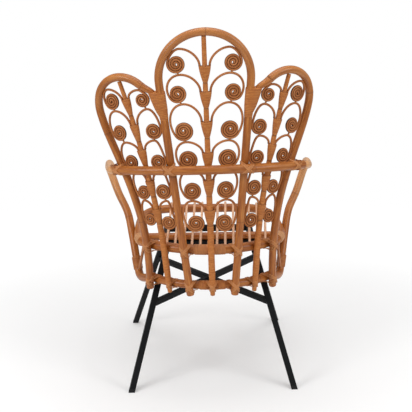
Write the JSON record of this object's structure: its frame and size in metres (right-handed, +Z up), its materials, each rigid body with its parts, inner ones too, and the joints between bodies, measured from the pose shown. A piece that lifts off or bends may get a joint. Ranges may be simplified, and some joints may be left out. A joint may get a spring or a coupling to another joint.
{
  "type": "peacock chair",
  "caption": "Rattan peacock lounge chair: a fanned back of round arches filled with wound scrolls, hooped arms and a slatted seat, on a splayed square-tube steel base.",
  "frame": {"origin": "on the floor, under the middle of the box round the chair", "axes": "+Z up, the sitter faces -Y, +X is the sitter's left"},
  "size_m": [0.6316, 0.6108, 1.045],
  "materials": {
    "rattan": "honey-brown lacquered rattan poles",
    "scroll_rattan": "darker brown split rattan",
    "pale_rattan": "pale matt rattan",
    "black_steel": "satin black powder coat",
    "black_plastic": "matt black"
  },
  "bodies": {
    "root": {"arm_rail": "rattan", "centre_arch": "rattan", "centre_spine": "rattan", "front_left_glide": "black_plastic", "front_left_leg": "black_steel", "front_right_glide": "black_plastic", "front_right_leg": "black_steel", "left_arch": "rattan", "left_arm": "rattan", "left_crown_binding": "rattan", "left_post_binding": "rattan", "left_rear_stretcher": "black_steel", "left_spine": "rattan", "lower_rail": "rattan", "rear_left_glide": "black_plastic", "rear_left_leg": "black_steel", "rear_right_glide": "black_plastic", "rear_right_leg": "black_steel", "right_arch": "rattan", "right_arm": "rattan", "right_crown_binding": "rattan", "right_post_binding": "rattan", "right_rear_stretcher": "black_steel", "right_spine": "rattan", "scroll_centre_left_1": "scroll_rattan", "scroll_centre_left_2": "scroll_rattan", "scroll_centre_left_3": "scroll_rattan", "scroll_centre_left_4": "scroll_rattan", "scroll_centre_left_5": "scroll_rattan", "scroll_centre_left_6": "scroll_rattan", "scroll_centre_right_1": "scroll_rattan", "scroll_centre_right_2": "scroll_rattan", "scroll_centre_right_3": "scroll_rattan", "scroll_centre_right_4": "scroll_rattan", "scroll_centre_right_5": "scroll_rattan", "scroll_centre_right_6": "scroll_rattan", "scroll_left_inner_1": "scroll_rattan", "scroll_left_inner_2": "scroll_rattan", "scroll_left_inner_3": "scroll_rattan", "scroll_left_inner_4": "scroll_rattan", "scroll_left_inner_5": "scroll_rattan", "scroll_left_outer_1": "scroll_rattan", "scroll_left_outer_2": "scroll_rattan", "scroll_left_outer_3": "scroll_rattan", "scroll_left_outer_4": "scroll_rattan", "scroll_left_outer_5": "scroll_rattan", "scroll_right_inner_1": "scroll_rattan", "scroll_right_inner_2": "scroll_rattan", "scroll_right_inner_3": "scroll_rattan", "scroll_right_inner_4": "scroll_rattan", "scroll_right_inner_5": "scroll_rattan", "scroll_right_outer_1": "scroll_rattan", "scroll_right_outer_2": "scroll_rattan", "scroll_right_outer_3": "scroll_rattan", "scroll_right_outer_4": "scroll_rattan", "scroll_right_outer_5": "scroll_rattan", "seat_ring": "rattan", "seat_slats": "pale_rattan", "top_frame": "black_steel"}
  },
  "joints": []
}
